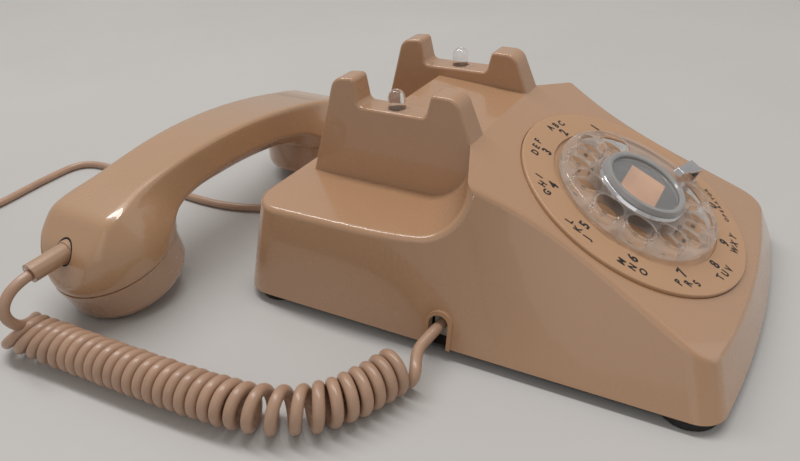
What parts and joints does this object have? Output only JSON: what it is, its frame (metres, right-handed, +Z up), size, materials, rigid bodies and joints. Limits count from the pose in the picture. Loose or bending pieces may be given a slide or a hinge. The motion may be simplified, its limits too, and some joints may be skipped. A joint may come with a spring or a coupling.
{
  "type": "rotary telephone",
  "caption": "Desk telephone with a sloping rotary dial, cradle with hook plungers, handset lying behind it, curly handset cord and a coiled line cord.",
  "frame": {"origin": "middle of the telephone's base, on the desk", "axes": "+Z up; the dial faces -Y; the handset lies behind the base, along X, transmitter end at -X"},
  "size_m": [0.2792, 0.4454, 0.1013],
  "materials": {
    "housing_plastic": "moulded beige plastic, glossy",
    "base_steel": "black painted sheet steel",
    "foot_rubber": "black rubber",
    "steel": "bright steel",
    "plated_steel": "zinc plated sheet steel",
    "plate_plastic": "moulded beige plastic with printed characters",
    "brass": "plain brass",
    "dark_phenolic": "dark moulded resin",
    "clear_acrylic": "clear acrylic, polished",
    "chrome": "polished chrome",
    "ring_grey": "grey plastic",
    "card_dark": "dark printed card",
    "label_salmon": "salmon paper label, blank lines",
    "coil_copper": "enamelled copper winding",
    "handset_plastic": "moulded beige plastic, glossy",
    "cap_plastic": "moulded pinkish beige plastic",
    "unit_metal": "sheet aluminium",
    "clamp_nylon": "natural nylon",
    "cord_vinyl": "pinkish beige vinyl",
    "tie_black": "black plastic tie"
  },
  "bodies": {
    "base": {"housing": "housing_plastic", "base_plate": "base_steel", "rubber_feet": "foot_rubber", "housing_screws": "steel", "dial_screws": "steel", "bail_pin": "steel", "clapper_pin": "steel", "wheel_axle": "steel", "gong_screws": "steel", "hook_spring": "steel", "return_spring": "steel", "ringer_core": "steel", "dial_frame": "plated_steel", "movement_plate": "plated_steel", "dial_brackets": "plated_steel", "switch_bracket": "plated_steel", "ringer_frame": "plated_steel", "number_plate": "plate_plastic", "governor_cup": "brass", "gong_left": "brass", "gong_right": "brass", "terminal_screws": "brass", "pulse_contacts": "dark_phenolic", "switch_contacts": "dark_phenolic", "network_block": "dark_phenolic", "line_plug": "clear_acrylic", "finger_stop": "chrome", "ringer_coil": "coil_copper", "cord_clamps": "clamp_nylon", "handset_lead": "cord_vinyl", "curly_cord": "cord_vinyl", "base_lead": "cord_vinyl", "line_cord": "cord_vinyl", "line_coil": "cord_vinyl", "line_tail": "cord_vinyl", "coil_tie": "tie_black"},
    "dial": {"finger_wheel": "clear_acrylic", "ring_trim": "chrome", "centre_ring": "ring_grey", "card_window": "clear_acrylic", "number_card": "card_dark", "card_label": "label_salmon", "dial_shaft": "steel", "main_gear": "brass"},
    "cam": {"cam_shaft": "steel", "pulse_cam": "dark_phenolic", "governor_gear": "brass"},
    "governor": {"governor_shaft": "steel", "governor_weights": "brass"},
    "bail": {"bail": "plated_steel"},
    "plunger_l": {"plunger_left": "clear_acrylic"},
    "plunger_r": {"plunger_right": "clear_acrylic"},
    "clapper_arm": {"clapper": "steel"},
    "volume": {"volume_wheel": "ring_grey"},
    "handset": {"handset_handle": "handset_plastic", "transmitter_cap": "cap_plastic", "receiver_cap": "cap_plastic", "transmitter_unit": "unit_metal", "receiver_unit": "unit_metal", "handset_boot": "cap_plastic"}
  },
  "joints": [
    {"name": "dial_turn", "type": "hinge", "parent": "base", "child": "dial", "pos_m": [0, -0.0525, 0.0504], "axis": [0, 0.4493, -0.8934], "range_deg": [0, 337]},
    {"name": "cam_spin", "type": "hinge", "parent": "base", "child": "cam", "pos_m": [0, -0.07193, 0.04063], "axis": [0, 0.4493, -0.8934], "range_deg": [-1690, 0]},
    {"name": "governor_spin", "type": "hinge", "parent": "base", "child": "governor", "pos_m": [0.01215, -0.07193, 0.04063], "axis": [0, 0.4493, -0.8934], "range_deg": [0, 5070]},
    {"name": "bail_tilt", "type": "hinge", "parent": "base", "child": "bail", "pos_m": [0, 0.022, 0.06], "axis": [-1, 0, 0], "range_deg": [0, 15]},
    {"name": "plunger_left_slide", "type": "slide", "parent": "base", "child": "plunger_l", "axis": [0, 0, -1], "range_m": [0, 0.00717], "stiffness_N_per_m": 10, "springref_m": -0.02},
    {"name": "plunger_right_slide", "type": "slide", "parent": "base", "child": "plunger_r", "axis": [0, 0, -1], "range_m": [0, 0.00717], "stiffness_N_per_m": 10, "springref_m": -0.02},
    {"name": "clapper_swing", "type": "hinge", "parent": "base", "child": "clapper_arm", "pos_m": [0, 0.06, 0.032], "axis": [0, 0, 1], "range_deg": [-3.4, 3.4]},
    {"name": "volume_turn", "type": "hinge", "parent": "base", "child": "volume", "pos_m": [0.058, 0.04, 0.0075], "axis": [0, 0, 1], "range_deg": [0, 100]},
    {"name": "handset_lift", "type": "slide", "parent": "base", "child": "handset", "axis": [0, 0, 1], "range_m": [0, 0.15]}
  ],
  "couplings": [
    {"joint": "cam_spin", "follows": "dial_turn", "ratio": -5},
    {"joint": "governor_spin", "follows": "dial_turn", "ratio": 15},
    {"joint": "plunger_left_slide", "follows": "bail_tilt", "m_per_rad": 0.0274},
    {"joint": "plunger_right_slide", "follows": "bail_tilt", "m_per_rad": 0.0274}
  ]
}
